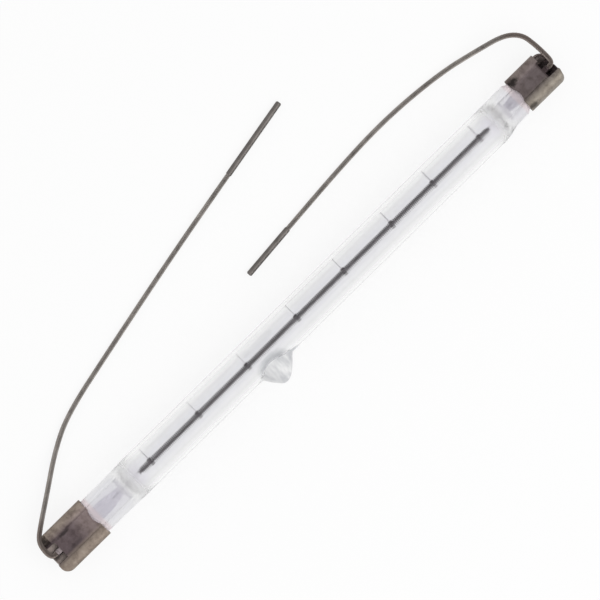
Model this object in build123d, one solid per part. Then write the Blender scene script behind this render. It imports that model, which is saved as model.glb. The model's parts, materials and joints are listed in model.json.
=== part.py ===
from build123d import *

# Halogen heater lamp: a quartz tube with a coiled filament, pinched flat at both ends. A formed metal
# cap holds each pinch, and a bare stranded lead comes out of each cap. The lamp lies on its side.
# Frame: origin on the tube's axis midway between the caps' end faces, +X along the tube, +Y towards
# the side where the leads lie, +Z up. The surface that the lamp lies on touches the tube from below.

import math
import os
from dataclasses import dataclass

os.makedirs("parts", exist_ok=True)

# Sizes of the lamp, in millimetres

body_length = 198.8  # over the end faces of the two caps
tube_diameter = 12.0
tube_wall = 1.0
shoulder_length = 5.5  # from the round tube to the flat of the pinch
shoulder_sections = 3
slit_share = 0.72  # of the pinch's width, taken by the bore where it closes
slit_height = 0.4
glass_setback = 4.6  # from a cap's end face in to the end of the glass

# Exhaust tip, sealed off on the side away from the leads

tip_place = -16.2  # along the tube
tip_reach = 5.0  # beyond the tube
tip_end_radius = 2.6
tip_waist_radius = 4.1
tip_base_radius = 4.7
tip_lean = 35.0  # degrees, of the tip's side where its round end begins
tip_waist_share = 0.25  # of the tip's reach, out to the waist
tip_bore_radius = 1.3
tip_bore_share = 0.2  # of the tip's reach, out to where the bore begins to close

# End caps, folded from sheet

sheet = 0.5
rail_width = 3.75
rail_height = 5.2
rail_corner = 1.7
web_height = 3.6
valley_radius = 0.4
pinch_edge_radius = 0.4
cap_corner_radius = 2.6
notch_length = 3.7
notch_width = 5.6
notch_floor = -0.95  # height of the end wall's upper edge, from the lamp's axis
exit_length = 3.0  # of the gap through which the lead leaves the notch sideways
mouth_relief = 0.8  # depth of the curved cut in the web at the cap's mouth
seam_gap = 0.3
seat_gap = 0.05  # between the cap's web and the pinch
side_gap = 0.3  # between the cap's rails and the edges of the pinch

# Seals

foil_width = 4.6
foil_thickness = 0.08
foil_inner_margin = 1.0
foil_outer_margin = 3.0
weld_overlap = 2.5
pin_diameter = 0.9

# Filament and its supports

coil_diameter = 1.7
coil_turns = 54
filament_wire = 0.4
coil_margin = 1.6  # from the round tube's end to the first turn
sides_per_turn = 6
tail_turns = 1  # turns over which the coil opens out from the straight leg
support_shares = (0.035, 0.171, 0.312, 0.452, 0.586, 0.722, 0.841, 0.973)  # of the coil's length
support_wire = 0.3
support_gap = 0.05  # between the ring and the bore of the tube
loop_gap = 0.1  # between the loop and the coil
loop_sides = 8
ring_sides = 18
ring_reach = 75.0  # degrees, of the sprung ring to each side of its spoke

# Leads

lead_diameter = 1.45
lead_sides = 8
crimp_setback = 2.05  # from a cap's end face in to the outer face of the crimp
crimp_diameter = 2.2
crimp_sides = 12
crimp_length = 2.4
crimp_press = 0.3
press_length = 1.2
lead_end_diameter = 1.7
lead_end_chamfer = 0.3
arc_share = 0.45  # of the shorter run at a bend, taken by the arc

# Route of each lead from the outer face of its crimp, as offsets in X, Y and Z

left_route = [
    (0.0, 0.0, 0.0),
    (-1.2, 0.0, 0.0),
    (-2.05, 0.85, 0.0),
    (-2.15, 3.1, 0.0),
    (-1.4, 6.1, 0.0),
    (2.15, 8.9, -0.8),
    (8.95, 13.6, -2.7),
    (19.55, 21.1, -4.6),
    (29.45, 26.0, -5.25),
    (50.35, 30.6, -5.25),
    (73.35, 35.5, -5.25),
    (93.35, 39.5, -5.15),
    (109.35, 42.45, -5.15),
]
right_route = [
    (0.0, 0.0, 0.0),
    (1.2, 0.0, 0.0),
    (2.05, 0.85, 0.0),
    (2.15, 3.2, 0.0),
    (2.0, 7.3, -0.2),
    (1.35, 11.75, -0.7),
    (-2.35, 15.25, -1.6),
    (-10.25, 17.4, -3.3),
    (-22.15, 20.2, -5.25),
    (-41.35, 21.85, -5.25),
    (-61.35, 21.15, -5.15),
    (-84.15, 19.1, -5.15),
]

# Places worked out from the sizes

half_body = body_length / 2
tube_radius = tube_diameter / 2
bore_radius = tube_radius - tube_wall
glass_end = half_body - glass_setback
foil_height = -(pin_diameter + foil_thickness) / 2  # of the foil's middle, below the pin
wire_side = filament_wire * math.sqrt(math.pi) / 2  # square of the round wire's area
wire_half_diagonal = wire_side / math.sqrt(2)
leg_height = foil_height + foil_thickness / 2 + wire_half_diagonal
coil_radius = (coil_diameter - filament_wire) / 2


@dataclass
class End:
    """Sizes of one end of the lamp, where side is -1 on the left and 1 on the right."""

    side: int
    cap_length: float
    cap_width: float
    pinch_length: float
    roll: float  # of the pinch and its cap about the tube's axis
    offset: float  # of the pinch and its cap from the tube's axis, along +Y
    sleeve_length: float  # of the sleeve on the lead's free end

    @property
    def pinch_start(self):
        """Where the flat of the pinch begins, from the middle of the lamp."""
        return glass_end - self.pinch_length

    @property
    def shoulder_start(self):
        """Where the round tube ends."""
        return self.pinch_start - shoulder_length

    @property
    def foil_start(self):
        return self.pinch_start + foil_inner_margin

    @property
    def foil_end(self):
        return glass_end - foil_outer_margin

    @property
    def crimp_end(self):
        """Where the lead begins."""
        return half_body - crimp_setback

    @property
    def route(self):
        return left_route if self.side < 0 else right_route

    def place(self, shape):
        """Turns a piece that was made with its outer end towards +X to its place on the lamp."""
        turn = 180 if self.side < 0 else 0
        return Pos(0, self.offset, 0) * Rot(X=self.roll) * Rot(Z=turn) * shape

    def leg_point(self, x):
        """A point of the filament's leg, beside the foil."""
        angle = math.radians(self.roll)
        return (self.side * x, self.offset - leg_height * math.sin(angle), leg_height * math.cos(angle))


left_end = End(
    side=-1, cap_length=16.8, cap_width=13.1, pinch_length=22.9, roll=0.0, offset=0.0, sleeve_length=25.0
)
right_end = End(
    side=1, cap_length=13.6, cap_width=11.4, pinch_length=14.2, roll=-15.0, offset=0.65, sleeve_length=17.0
)


def across(x):
    """Plane across the tube at a distance along it."""
    return Plane.YZ.offset(x)


def bone(width, bead_width, bead_height, bead_corner, middle_height, valley):
    """Dog-bone section: two rounded beads joined by a thinner middle."""
    bead = RectangleRounded(bead_width, bead_height, bead_corner)
    bead_place = (width - bead_width) / 2
    section = Rectangle(2 * bead_place, middle_height)
    section += Pos(bead_place) * bead
    section += Pos(-bead_place) * bead
    corners = [v for v in section.vertices() if abs(abs(v.Y) - middle_height / 2) < 1e-4]
    return fillet(corners, valley)


def cap_section(end, inset):
    """Section of a cap's sleeve, taken in by a part of the sheet's thickness."""
    return bone(
        end.cap_width - 2 * inset,
        rail_width - 2 * inset,
        rail_height - 2 * inset,
        rail_corner - inset,
        web_height - 2 * inset,
        valley_radius + inset,
    )


def pinch_size(end):
    """Width and height of the pinched glass."""
    inset = sheet + seat_gap
    return end.cap_width - 2 * (inset + side_gap), rail_height - 2 * inset


def pinch_section(end):
    """Section of the pinched glass: the cap's inside less its gaps, with flat sides."""
    width, height = pinch_size(end)
    section = cap_section(end, sheet + seat_gap) & Rectangle(width, height)
    corners = [v for v in section.vertices() if abs(abs(v.X) - width / 2) < 1e-4]
    return fillet(corners, pinch_edge_radius)


def shoulder(end, start_radius, end_width, end_height):
    """Loft from the round tube to the flat oval where the pinch begins, both ends in true place."""
    angle = math.radians(end.roll)
    sections = []
    for number in range(shoulder_sections):
        share = number / (shoulder_sections - 1)
        flat = share * share * (3 - 2 * share)
        half_width = start_radius + (end_width / 2 - start_radius) * flat
        half_height = start_radius + (end_height / 2 - start_radius) * flat
        back = -end.side * end.offset * (1 - flat)
        centre = Pos(back * math.cos(angle), -end.side * back * math.sin(angle))
        plane = across(end.shoulder_start + share * shoulder_length)
        sections.append(plane * centre * Ellipse(half_width, half_height))
    return loft(sections)


def glass_end_solid(end):
    """Shoulder and pinch of one end, closed."""
    body = shoulder(end, tube_radius, *pinch_size(end))
    body += extrude(across(end.pinch_start) * pinch_section(end), end.pinch_length)
    return end.place(body)


def glass_end_hollow(end):
    """Inside of one end: the bore closing to a slit, and the channel of the filament's leg."""
    slit_width = slit_share * pinch_size(end)[0]
    hollow = end.place(shoulder(end, bore_radius, slit_width, slit_height))
    leg_start = end.leg_point(end.shoulder_start + shoulder_length / 2)
    leg_tip = end.leg_point(end.foil_start + weld_overlap)
    channel = Line(leg_start, leg_tip)
    leg = sweep(Plane(origin=channel @ 0, z_dir=channel % 0) * Circle(wire_half_diagonal), path=channel)
    return hollow + leg


def exhaust_tip():
    """Solid drop of glass where the tube was sealed off, revolved about its own axis."""
    top = tube_radius + tip_reach
    low = math.sqrt(tube_radius**2 - tip_base_radius**2) - tube_wall / 2

    def on_end(angle):
        reach = top - tip_end_radius + tip_end_radius * math.sin(angle)
        return (tip_end_radius * math.cos(angle), reach)

    lean = math.radians(tip_lean)
    foot = (tip_base_radius, tube_radius - tube_wall)
    outline = Polyline((0, top), (0, low), (tip_base_radius, low), foot)
    outline += Spline(
        foot,
        (tip_waist_radius, tube_radius + tip_reach * tip_waist_share),
        on_end(lean),
        tangents=[(-0.2, 1), (-math.sin(lean), math.cos(lean))],
    )
    outline += ThreePointArc(on_end(lean), on_end((lean + math.pi / 2) / 2), (0, top))
    drop = revolve(make_face(outline), Axis.Y)
    return Pos(tip_place, 0, 0) * Rot(Z=180) * drop


def exhaust_bore():
    """Hole that the lamp was filled through, drawn to a point in the tip."""
    wall_line = bore_radius - tube_wall / 2
    mouth = tube_radius + tip_reach * tip_bore_share
    point = tube_radius + tip_reach - tip_end_radius
    outline = Polyline(
        (0, wall_line),
        (tip_bore_radius, wall_line),
        (tip_bore_radius, mouth),
        (0, point),
        (0, wall_line),
    )
    bore = revolve(make_face(outline), Axis.Y)
    return Pos(tip_place, 0, 0) * Rot(Z=180) * bore


def quartz_tube(foils, pins):
    """The whole envelope, hollow, with the seals' metal let into its pinches."""
    length = left_end.shoulder_start + right_end.shoulder_start
    start = across(-left_end.shoulder_start)
    glass = extrude(start * Circle(tube_radius), length)
    glass += exhaust_tip()
    glass += glass_end_solid(left_end) + glass_end_solid(right_end)
    glass -= extrude(start * Circle(bore_radius), length)
    glass -= exhaust_bore()
    for end in (left_end, right_end):
        glass -= glass_end_hollow(end)
    for metal in foils + pins:
        glass -= metal
    return glass


def seal_foil(end):
    """Molybdenum foil that carries the current through the pinch."""
    length = end.foil_end - end.foil_start
    middle = (end.foil_start + end.foil_end) / 2
    return end.place(Pos(middle, 0, foil_height) * Box(length, foil_width, foil_thickness))


def outer_pin(end):
    """Pin from its weld on the foil out to the far face of the crimp."""
    start = end.foil_end - weld_overlap
    return end.place(extrude(across(start) * Circle(pin_diameter / 2), end.crimp_end - start))


def lead_crimp(end):
    """Barrel over the pin's end, pressed flat above and below."""
    start = end.crimp_end - crimp_length
    barrel = extrude(across(start) * RegularPolygon(crimp_diameter / 2, crimp_sides), crimp_length)
    barrel -= extrude(across(start) * Circle(pin_diameter / 2), crimp_length)
    for side in (-1, 1):
        press_place = side * crimp_diameter / 2
        barrel -= Pos(start + crimp_length / 2, 0, press_place) * Box(
            press_length, crimp_diameter, 2 * crimp_press
        )
    return end.place(barrel)


def end_cap(end):
    """Sleeve folded from sheet over the pinch, open at its outer end for the lead."""
    mouth = half_body - end.cap_length
    sleeve = cap_block(end, mouth, half_body, 0.0) - cap_block(end, mouth - sheet, half_body - sheet, sheet)
    notch_middle = half_body - notch_length / 2 + sheet / 2
    notch_rise = notch_floor + rail_height / 2
    sleeve -= Pos(notch_middle, 0, notch_rise) * Box(notch_length + sheet, notch_width, rail_height)
    exit_middle = half_body - exit_length / 2 + sheet / 2
    exit_side = end.side * end.cap_width / 2
    sleeve -= Pos(exit_middle, exit_side, notch_rise) * Box(exit_length + sheet, end.cap_width, rail_height)
    seam_middle = half_body - end.cap_length / 2
    seam_length = end.cap_length + 2 * sheet
    sleeve -= Pos(seam_middle, 0, -rail_height / 2) * Box(seam_length, seam_gap, rail_height)
    relief_radius = (notch_width**2 / 4 + mouth_relief**2) / (2 * mouth_relief)
    sleeve -= Pos(mouth + mouth_relief - relief_radius, 0, 0) * Cylinder(relief_radius, rail_height)
    return end.place(sleeve)


def cap_block(end, start, stop, inset):
    """Dog-bone bar whose two outer corners are round when seen from above."""
    bar = extrude(across(start) * cap_section(end, inset), stop - start)
    width = end.cap_width - 2 * inset
    plan = Pos((start + stop) / 2, 0) * Rectangle(stop - start, width)
    corners = plan.vertices().group_by(Axis.X)[-1]
    plan = fillet(corners, cap_corner_radius - inset)
    return bar & Pos(0, 0, -rail_height / 2) * extrude(plan, rail_height)


def filament():
    """One wire: a leg in each seal and the coil between them, laid in short straight sides."""
    coil_start = -(left_end.shoulder_start - coil_margin)
    coil_end = right_end.shoulder_start - coil_margin
    steps = coil_turns * sides_per_turn
    tail = tail_turns * sides_per_turn
    points = [
        left_end.leg_point(left_end.foil_start + weld_overlap),
        left_end.leg_point(left_end.shoulder_start + shoulder_length / 2),
    ]
    for step in range(steps + 1):
        radius = coil_radius * min(1.0, step / tail, (steps - step) / tail)
        angle = 2 * math.pi * step / sides_per_turn
        x = coil_start + (coil_end - coil_start) * step / steps
        points.append((x, radius * math.cos(angle), radius * math.sin(angle)))
    points += [
        right_end.leg_point(right_end.shoulder_start + shoulder_length / 2),
        right_end.leg_point(right_end.foil_start + weld_overlap),
    ]
    path = Polyline(*points)
    section = Plane(origin=path @ 0, z_dir=path % 0) * Rectangle(wire_side, wire_side)
    return sweep(section, path=path, transition=Transition.RIGHT)


def filament_support(share):
    """Wire support bent in one plane: a loop round the coil, a spoke and a sprung ring."""
    coil_start = -(left_end.shoulder_start - coil_margin)
    coil_end = right_end.shoulder_start - coil_margin
    ring_radius = bore_radius - support_gap
    loop_radius = (coil_radius + wire_half_diagonal + loop_gap) / math.cos(math.pi / loop_sides)
    ring = RegularPolygon(ring_radius, ring_sides) - RegularPolygon(ring_radius - support_wire, ring_sides)
    side = ring_radius * math.tan(math.radians(ring_reach))
    ring &= Polygon((0, 0), (ring_radius, -side), (ring_radius, side), align=None)
    loop = RegularPolygon(loop_radius + support_wire, loop_sides) - RegularPolygon(loop_radius, loop_sides)
    spoke_length = ring_radius - loop_radius - support_wire
    spoke_middle = loop_radius + (support_wire + spoke_length) / 2
    spoke = Pos(spoke_middle) * Rectangle(spoke_length, support_wire)
    x = coil_start + (coil_end - coil_start) * share
    return extrude(across(x - support_wire / 2) * (ring + loop + spoke), support_wire)


def lead_route(end):
    """Points of a lead in the lamp's frame."""
    exit_x = end.side * end.crimp_end
    return [(exit_x + x, end.offset + y, z) for x, y, z in end.route]


def corner_radii(points):
    """Radius of the arc at each corner of a route, as large as its two runs allow."""
    radii = []
    vectors = [Vector(*b) - Vector(*a) for a, b in zip(points, points[1:])]
    for before, after in zip(vectors, vectors[1:]):
        half_turn = math.radians(before.get_angle(after)) / 2
        radii.append(arc_share * min(before.length, after.length) / math.tan(half_turn))
    return radii


def lead_wire(end):
    """Plain eight-sided tube along the lead's route."""
    points = lead_route(end)
    radii = corner_radii(points)
    path = FilletPolyline(*points, radius=radii)
    section = RegularPolygon(lead_diameter / 2, lead_sides)
    tube = sweep(Plane(origin=path @ 0, z_dir=path % 0) * section, path=path)
    expected = section.area * path.length
    print("radii", [round(radius, 1) for radius in radii])
    print("length", round(path.length, 1), "volume", round(tube.volume, 2), "expected", round(expected, 2))
    return tube


def lead_end(end):
    """Sleeve pressed on the lead's free end."""
    points = lead_route(end)
    start, direction = Vector(*points[-1]), Vector(*points[-1]) - Vector(*points[-2])
    sleeve = extrude(Circle(lead_end_diameter / 2), end.sleeve_length)
    sleeve = chamfer(sleeve.edges().group_by(Axis.Z)[-1], lead_end_chamfer)
    return Plane(origin=start, z_dir=direction.normalized()) * sleeve


ends = {"left": left_end, "right": right_end}
foils = {side: seal_foil(end) for side, end in ends.items()}
pins = {side: outer_pin(end) for side, end in ends.items()}

pieces = {"quartz_tube": quartz_tube(list(foils.values()), list(pins.values())), "filament": filament()}
for number, share in enumerate(support_shares, start=1):
    pieces[f"filament_support_{number}"] = filament_support(share)
for side, end in ends.items():
    pieces[f"seal_foil_{side}"] = foils[side]
    pieces[f"outer_pin_{side}"] = pins[side]
    pieces[f"end_cap_{side}"] = end_cap(end)
    pieces[f"lead_crimp_{side}"] = lead_crimp(end)
    pieces[f"lead_wire_{side}"] = lead_wire(end)
    pieces[f"lead_end_{side}"] = lead_end(end)

for name, piece in pieces.items():
    export_step(piece, f"parts/{name}.step")
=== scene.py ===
"""Halogen heater lamp: quartz tube, coiled filament, pinched ends in sheet caps and stranded leads."""

import json
import logging
import math
from collections.abc import Callable
from dataclasses import dataclass
from enum import Enum
from functools import cached_property

import bpy
import numpy as np
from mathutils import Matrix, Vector

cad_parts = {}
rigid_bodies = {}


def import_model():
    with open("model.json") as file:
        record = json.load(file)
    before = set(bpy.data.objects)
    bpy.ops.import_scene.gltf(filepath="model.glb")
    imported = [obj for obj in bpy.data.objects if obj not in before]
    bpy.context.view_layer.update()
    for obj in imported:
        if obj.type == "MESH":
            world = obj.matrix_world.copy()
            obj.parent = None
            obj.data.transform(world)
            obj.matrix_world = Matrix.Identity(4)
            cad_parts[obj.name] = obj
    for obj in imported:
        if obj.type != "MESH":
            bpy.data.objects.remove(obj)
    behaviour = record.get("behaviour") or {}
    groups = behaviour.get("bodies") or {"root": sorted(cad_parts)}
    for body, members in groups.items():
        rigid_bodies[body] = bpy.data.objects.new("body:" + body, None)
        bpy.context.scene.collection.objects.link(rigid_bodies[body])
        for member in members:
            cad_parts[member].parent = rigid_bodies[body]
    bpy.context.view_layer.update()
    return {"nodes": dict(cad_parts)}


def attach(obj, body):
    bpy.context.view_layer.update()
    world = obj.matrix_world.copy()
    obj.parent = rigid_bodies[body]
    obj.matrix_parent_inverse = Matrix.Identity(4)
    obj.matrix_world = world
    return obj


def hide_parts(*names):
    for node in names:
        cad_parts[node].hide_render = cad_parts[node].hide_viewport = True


log = logging.getLogger("heater_lamp")

Source = bpy.types.Node | bpy.types.NodeSocket  # what feeds a node
Material = bpy.types.Material
Piece = bpy.types.Object
Pair = tuple[float, float]
Point = tuple[float, float, float]
Stops = tuple[tuple[float, str], ...]  # places and hex colours

MM = 0.001
FLOOR_LEVEL = -6.0  # mm, where the tube touches what the lamp lies on
WHITE = (1.0, 1.0, 1.0, 1.0)
PINCH_MIDDLE = 1.22  # mm, half height of the pinch's middle
PINCH_BEAD = 2.0  # mm, half height of its beads
PINCH_CORNER = 1.75  # mm, rounding of the beads' outer edges
GLASS_END = 94.8  # mm from the middle of the lamp
NECK_LENGTH = 1.4  # mm, over which the glass narrows to go into the cap
NECK_END = 0.1  # mm in front of the cap
BEAD_RISE = 0.8  # mm, over which the pinch thickens from its middle to a bead
COIL_ENDS = (-64.8, 73.5)  # mm along the lamp
TINY = 1e-6  # under which a sine counts as 0
FACE_OUT = (bpy.ops.mesh.normals_make_consistent, {"inside": False})  # a step of edit_mesh


def hex_colour(code: str) -> tuple[float, float, float, float]:
    """Turns six hex digits of sRGB to linear red, green and blue, with an alpha of 1."""
    channels = [int(code[i : i + 2], 16) / 255 for i in (0, 2, 4)]
    linear = [c / 12.92 if c <= 0.04045 else ((c + 0.055) / 1.055) ** 2.4 for c in channels]
    return (*linear, 1.0)


def colour_stops(node: bpy.types.Node, stops: Stops) -> bpy.types.Node:
    """Sets a colour ramp.

    Args:
        node: the ramp node.
        stops: place and hex colour of each stop, in rising order.

    Returns:
        The same node.
    """
    ramp = node.color_ramp
    while len(ramp.elements) < len(stops):
        ramp.elements.new(1.0)
    for element, (place, code) in zip(ramp.elements, stops):
        element.position = place
        element.color = hex_colour(code)
    return node


def smoothstep(share: float) -> float:
    """Eases a share from 0 to 1."""
    share = min(1.0, max(0.0, share))
    return share * share * (3 - 2 * share)


def gentle_step(share: float) -> float:
    """Eases a share from 0 to 1 with no sudden bend at either end."""
    share = min(1.0, max(0.0, share))
    return share**3 * (share * (share * 6 - 15) + 10)


@dataclass(frozen=True)
class LampEnd:
    """One end of the lamp, in millimetres."""

    name: str
    side: int  # -1 or 1, of X
    shoulder_start: float  # from the middle of the lamp, as all places along it here
    pinch_start: float
    pinch_width: float
    bead_start: float  # half width of the thin middle of the pinch
    roll: float  # degrees about the tube
    offset: float  # across, from the tube's axis
    mouth: float  # where the cap begins
    neck_width: float  # of the glass in front of the cap

    def closed(self, x: float, before: float, beyond: float) -> float:
        """How far the tube is closed at a place, over the shoulder with so many mm before and beyond it."""
        start = self.shoulder_start - before
        return gentle_step((abs(x) - start) / (self.pinch_start + beyond - start))

    def width_at(self, place: float) -> float:
        """Width of the pinch at a distance from the middle of the lamp."""
        wide = gentle_step((self.mouth - NECK_END - place) / NECK_LENGTH)
        return self.pinch_width + (self.neck_width - self.pinch_width) * wide

    def turned(self, y: float, z: float) -> Pair:
        """Moves a point of the pinch's section, in mm, to its place in the lamp's frame."""
        turn = math.radians(self.roll)
        return (
            self.offset + y * math.cos(turn) - z * math.sin(turn),
            y * math.sin(turn) + z * math.cos(turn),
        )

    def flat_point(self, angle: float, width: float) -> Pair:
        """Point of the pinch's section at an angle, in the lamp's frame.

        Args:
            angle: radians round the section, from +Y.
            width: mm, of the section.

        Returns:
            Y and Z in mm.
        """
        half = width / 2
        y = half * math.cos(angle)
        rise = smoothstep((abs(y) - self.bead_start) / BEAD_RISE)
        height = PINCH_MIDDLE + (PINCH_BEAD - PINCH_MIDDLE) * rise
        beyond = abs(y) - (half - PINCH_CORNER)
        if beyond > 0:
            height -= PINCH_CORNER - math.sqrt(max(0.0, PINCH_CORNER**2 - beyond**2))
        up = math.sin(angle)
        return self.turned(y, math.copysign(height, up) if abs(up) > TINY else 0.0)


LEFT = LampEnd(
    "left", -1, shoulder_start=66.4, pinch_start=71.9, pinch_width=11.4, bead_start=3.4,
    roll=0.0, offset=0.0, mouth=82.6, neck_width=11.6,
)
RIGHT = LampEnd(
    "right", 1, shoulder_start=75.1, pinch_start=80.6, pinch_width=9.7, bead_start=2.55,
    roll=-15.0, offset=0.65, mouth=85.8, neck_width=11.0,
)


def both_ends(places: Pair, start: float, full: float) -> tuple[Pair, Pair]:
    """Spans at the lamp's two ends, in mm from these places towards its middle."""
    left, right = places
    return (left + start, left + full), (right - start, right - full)


class ShaderTree:
    """Node tree of a material or of the world, while it is being built."""

    def __init__(self, owner: Material | bpy.types.World) -> None:
        """Empties the owner's tree."""
        owner.use_nodes = True
        self.nodes = owner.node_tree.nodes
        self.links = owner.node_tree.links
        self.nodes.clear()

    def node(self, kind: str, inputs: dict | None = None, **settings: object) -> bpy.types.Node:
        """Adds one node with its settings and inputs.

        Args:
            kind: the node's type name, without the start that all of them share.
            inputs: input name or number to its constant, or to the node or output that feeds it.
            settings: properties of the node.

        Returns:
            The new node.
        """
        node = self.nodes.new("ShaderNode" + kind)
        for name, value in settings.items():
            setattr(node, name, value)
        for name, value in (inputs or {}).items():
            if isinstance(value, bpy.types.Node):
                value = next(output for output in value.outputs if output.enabled)
            if isinstance(value, bpy.types.NodeSocket):
                self.links.new(value, node.inputs[name])
            else:
                node.inputs[name].default_value = value
        return node

    @cached_property
    def place(self) -> Source:
        """Object coordinates."""
        return self.node("TexCoord").outputs["Object"]

    def pattern(self, size: float, detail: float, place: Source | None = None) -> dict:
        """Inputs of a pattern that is as coarse as a size in mm."""
        return {"Vector": place or self.place, "Scale": 1 / (size * MM), "Detail": detail}

    def eased(self, value: Source, *spans: Pair) -> Source:
        """Eases from 0 to 1 over each span and takes the largest.

        Args:
            value: a length.
            spans: where each starts and is full, in mm.

        Returns:
            The share.
        """
        largest = None
        for start, full in spans:
            limits = {"From Min": start * MM, "From Max": full * MM}
            share = self.node("MapRange", {"Value": value, **limits}, interpolation_type="SMOOTHSTEP")
            if largest is not None:
                share = self.node("Math", {0: largest, 1: share}, operation="MAXIMUM")
            largest = share
        return largest

    def reach_from(self, middle: Pair, half: Pair) -> Source:
        """Measures from the middle of an ellipse seen from above.

        Args:
            middle: mm along and across the lamp.
            half: mm, the ellipse's half length and half width.

        Returns:
            0 in the middle and the length of 1 mm on the rim.
        """
        shift = (-middle[0] / half[0] * MM, -middle[1] / half[1] * MM, 0.0)
        scale = (1 / half[0], 1 / half[1], 0.0)
        own = self.node("Mapping", {"Vector": self.place, "Location": shift, "Scale": scale})
        return self.node("VectorMath", {0: own}, operation="LENGTH")

    def finish(self, relief: Source, inputs: dict, strength: float, depth: float) -> None:
        """Ends a material in one shader with a fine relief.

        Args:
            relief: the relief's height.
            inputs: the shader's other inputs.
            strength: how much of the relief shows.
            depth: mm, of the relief.
        """
        bump = self.node("Bump", {"Strength": strength, "Distance": depth * MM, "Height": relief})
        shader = self.node("BsdfPrincipled", {**inputs, "Normal": bump})
        self.node("OutputMaterial", {"Surface": shader})

    def seen(self) -> Source:
        """Tells rays that the eye gets straight, mirrored or through glass from those that only light."""
        rays = self.node("LightPath").outputs
        direct = {0: rays["Is Camera Ray"], 1: rays["Is Transmission Ray"]}
        seen = self.node("Math", direct, operation="MAXIMUM")
        return self.node("Math", {0: seen, 1: rays["Is Glossy Ray"]}, operation="MAXIMUM")


@dataclass(frozen=True)
class WireFinish:
    """Drawn or rolled metal.

    The eye sees fine lines that break up its shine, dull and brighter patches some millimetres long
    where it was handled or has been hot, and no colour of its own.
    """

    name: str
    dark: str
    light: str
    roughness: float
    patch: float = 2.0  # mm, size of a patch
    grain: float = 0.08  # mm, width of a drawing line
    scorch: str = ""  # colour near the caps, where the metal has been hot
    scorch_edge: Pair = (92.0, 97.0)  # mm from the middle of the lamp, where that starts and is full
    dark_stop: float = 0.3  # of the pattern, under which a patch is dark
    light_stop: float = 0.7
    smoother: float = 0.08  # how much less rough the dark patches are
    rougher: float = 0.1  # how much more the light ones

    def material(self) -> Material:
        """Builds the material."""
        material = bpy.data.materials.new(self.name)
        tree = ShaderTree(material)
        patches = tree.node("TexNoise", tree.pattern(self.patch, detail=4.0))
        colour = tree.node("ValToRGB", {"Fac": patches})
        colour_stops(colour, ((self.dark_stop, self.dark), (self.light_stop, self.light)))
        roughness = {"To Min": self.roughness - self.smoother, "To Max": self.roughness + self.rougher}
        rough = tree.node("MapRange", {"Value": patches, **roughness})
        lines = tree.node("TexNoise", tree.pattern(self.grain, detail=2.0))
        colour = self.scorched(tree, colour)
        inputs = {"Metallic": 1.0, "Base Color": colour, "Roughness": rough}
        tree.finish(lines, inputs, strength=0.25, depth=0.02)
        return material

    def scorched(self, tree: ShaderTree, colour: Source) -> Source:
        """Darkens the metal towards the caps.

        Args:
            tree: the material's tree.
            colour: the clean metal's colour.

        Returns:
            The colour to use.
        """
        if not self.scorch:
            return colour
        parts = tree.node("SeparateXYZ", {"Vector": tree.place})
        along = tree.node("Math", {0: parts.outputs["X"]}, operation="ABSOLUTE")
        share = tree.eased(along, self.scorch_edge)
        return tree.node("Mix", {0: share, 6: colour, 7: hex_colour(self.scorch)}, data_type="RGBA")


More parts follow.
